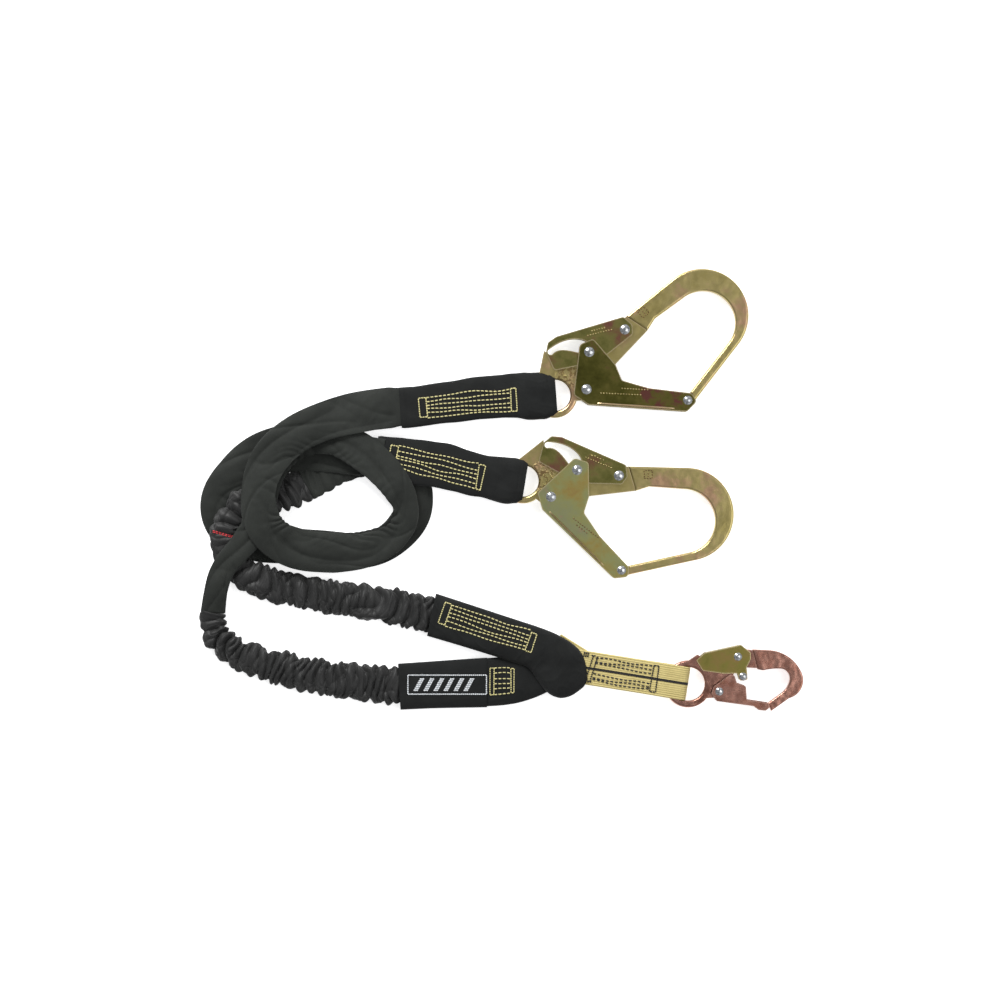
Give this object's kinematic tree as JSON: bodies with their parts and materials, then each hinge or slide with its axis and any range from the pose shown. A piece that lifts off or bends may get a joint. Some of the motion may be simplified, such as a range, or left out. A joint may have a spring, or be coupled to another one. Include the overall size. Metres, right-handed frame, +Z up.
{
  "type": "shock absorbing lanyard",
  "caption": "Shock-absorbing safety lanyard with gathered stretching legs, large locking scaffold hooks and a snap hook for the harness.",
  "frame": {"origin": "centre of the hooks, sleeves and webbing's bounding box in plan, on the floor they lie on", "axes": "+Z up from the floor, +X from the coiled legs towards the snap hook's tip, +Y towards the upper scaffold hook"},
  "size_m": [0.6107, 0.4417, 0.0292],
  "materials": {
    "hook_forging": "yellow-zinc plated forged steel, satin with faint iridescence",
    "hook_sheet": "olive yellow-zinc plated pressed steel, satin",
    "hook_sheet_light": "yellow-zinc plated pressed steel, satin, lighter gold-green",
    "snap_forging": "copper-rose zinc plated forged steel, satin",
    "snap_sheet": "olive zinc plated pressed steel, satin",
    "rivet_steel": "bright zinc, domed",
    "spring_steel": "drawn spring wire",
    "sleeve_fabric": "matte charcoal-black woven nylon sleeve",
    "tube_fabric": "matte black tubular webbing, faintly grey-green",
    "jacket_fabric": "black gathered polyester jacket with a slight sheen",
    "yellow_webbing": "pale yellow woven webbing with a black centre tracer",
    "black_webbing": "black woven load webbing",
    "core_yarn": "undyed partly drawn yarn",
    "yellow_thread": "pale yellow bonded thread",
    "black_thread": "black bonded thread",
    "red_thread": "red bonded thread"
  },
  "bodies": {
    "textiles": {"hook_1_box_stitching": "yellow_thread", "hook_1_cover_cuff": "sleeve_fabric", "hook_1_end_cover": "sleeve_fabric", "hook_1_webbing_eye": "black_webbing", "hook_2_box_stitching": "yellow_thread", "hook_2_cover_cuff": "sleeve_fabric", "hook_2_end_cover": "sleeve_fabric", "hook_2_webbing_eye": "black_webbing", "label_sleeve": "sleeve_fabric", "leg_1_energy_absorbing_core": "core_yarn", "leg_1_gathered_jacket": "jacket_fabric", "leg_1_load_webbing": "black_webbing", "leg_1_smooth_tube": "tube_fabric", "leg_2_energy_absorbing_core": "core_yarn", "leg_2_gathered_jacket": "jacket_fabric", "leg_2_load_webbing": "black_webbing", "leg_2_smooth_tube": "tube_fabric", "lower_junction_cover": "sleeve_fabric", "lower_junction_stitching": "yellow_thread", "red_seam_marker": "red_thread", "upper_junction_cover": "sleeve_fabric", "upper_junction_stitching": "yellow_thread", "yellow_loop_stitching": "black_thread", "yellow_webbing_loop": "yellow_webbing"},
    "rebar_hook_1": {"rebar_hook_1_body": "hook_forging", "rebar_hook_1_gate_rivet": "rivet_steel", "rebar_hook_1_lock_rivet": "rivet_steel", "rebar_hook_1_gate_spring": "spring_steel", "rebar_hook_1_lock_spring": "spring_steel"},
    "rebar_hook_1_gate": {"rebar_hook_1_gate": "hook_sheet", "rebar_hook_1_gate_pin": "rivet_steel", "rebar_hook_1_nose_rivet": "rivet_steel"},
    "rebar_hook_1_lock": {"rebar_hook_1_lock_lever": "hook_sheet"},
    "rebar_hook_2": {"rebar_hook_2_body": "hook_forging", "rebar_hook_2_gate_rivet": "rivet_steel", "rebar_hook_2_lock_rivet": "rivet_steel", "rebar_hook_2_gate_spring": "spring_steel", "rebar_hook_2_lock_spring": "spring_steel"},
    "rebar_hook_2_gate": {"rebar_hook_2_gate": "hook_sheet_light", "rebar_hook_2_gate_pin": "rivet_steel", "rebar_hook_2_nose_rivet": "rivet_steel"},
    "rebar_hook_2_lock": {"rebar_hook_2_lock_lever": "hook_sheet"},
    "snap_hook": {"snap_hook_body": "snap_forging", "snap_hook_gate_rivet": "rivet_steel", "snap_hook_lock_rivet": "rivet_steel", "snap_hook_gate_spring": "spring_steel", "snap_hook_lock_spring": "spring_steel"},
    "snap_hook_gate": {"snap_hook_gate": "snap_forging"},
    "snap_hook_lock": {"snap_hook_lock_plate": "snap_sheet", "snap_hook_lock_pin": "rivet_steel"}
  },
  "joints": [
    {"name": "rebar_hook_1_flex", "type": "hinge", "parent": "textiles", "child": "rebar_hook_1", "pos_m": [-0.08113, 0.09293, 0.0105], "axis": [-0.0732, 0.9973, 0], "range_deg": [-60, 60], "deforming": ["hook_1_cover_cuff", "hook_1_webbing_eye"]},
    {"name": "rebar_hook_1_gate_hinge", "type": "hinge", "parent": "rebar_hook_1", "child": "rebar_hook_1_gate", "pos_m": [-0.0137, 0.1014, 0.0105], "axis": [0, 0, 1], "range_deg": [0, 40], "stiffness_Nm_per_rad": 0.35, "springref_deg": -20.05, "deforming": ["rebar_hook_1_gate_spring"]},
    {"name": "rebar_hook_1_lock_hinge", "type": "hinge", "parent": "rebar_hook_1", "child": "rebar_hook_1_lock", "pos_m": [0.02461, 0.16122, 0.0105], "axis": [0, 0, 1], "range_deg": [0, 12], "stiffness_Nm_per_rad": 0.3, "springref_deg": -5.73, "deforming": ["rebar_hook_1_lock_spring"]},
    {"name": "rebar_hook_2_flex", "type": "hinge", "parent": "textiles", "child": "rebar_hook_2", "pos_m": [-0.11254, 0.01576, 0.0105], "axis": [0.1599, 0.9871, 0], "range_deg": [-60, 60], "deforming": ["hook_2_cover_cuff", "hook_2_webbing_eye"]},
    {"name": "rebar_hook_2_gate_hinge", "type": "hinge", "parent": "rebar_hook_2", "child": "rebar_hook_2_gate", "pos_m": [-0.0491, -0.0058, 0.0105], "axis": [0, 0, 1], "range_deg": [0, 40], "stiffness_Nm_per_rad": 0.35, "springref_deg": -20.05, "deforming": ["rebar_hook_2_gate_spring"]},
    {"name": "rebar_hook_2_lock_hinge", "type": "hinge", "parent": "rebar_hook_2", "child": "rebar_hook_2_lock", "pos_m": [0.0187, 0.0154, 0.0105], "axis": [0, 0, 1], "range_deg": [0, 12], "stiffness_Nm_per_rad": 0.3, "springref_deg": -5.73, "deforming": ["rebar_hook_2_lock_spring"]},
    {"name": "snap_hook_flex", "type": "hinge", "parent": "textiles", "child": "snap_hook", "pos_m": [0.03664, -0.18466, 0.0105], "axis": [0.1564, 0.9877, 0], "range_deg": [-75, 75], "deforming": ["yellow_webbing_loop", "yellow_loop_stitching"]},
    {"name": "snap_hook_gate_hinge", "type": "hinge", "parent": "snap_hook", "child": "snap_hook_gate", "pos_m": [0.1188, -0.2, 0.0105], "axis": [0, 0, 1], "range_deg": [0, 30], "stiffness_Nm_per_rad": 0.15, "springref_deg": -17.19, "deforming": ["snap_hook_gate_spring"]},
    {"name": "snap_hook_lock_hinge", "type": "hinge", "parent": "snap_hook", "child": "snap_hook_lock", "pos_m": [0.1375, -0.1654, 0.0105], "axis": [0, 0, 1], "range_deg": [0, 24], "stiffness_Nm_per_rad": 0.12, "springref_deg": -5.73, "deforming": ["snap_hook_lock_spring"]}
  ],
  "couplings": [
    {"joint": "rebar_hook_1_lock_hinge", "follows": "rebar_hook_1_gate_hinge", "ratio": 0.3},
    {"joint": "rebar_hook_2_lock_hinge", "follows": "rebar_hook_2_gate_hinge", "ratio": 0.3},
    {"joint": "snap_hook_lock_hinge", "follows": "snap_hook_gate_hinge", "ratio": 0.8}
  ]
}
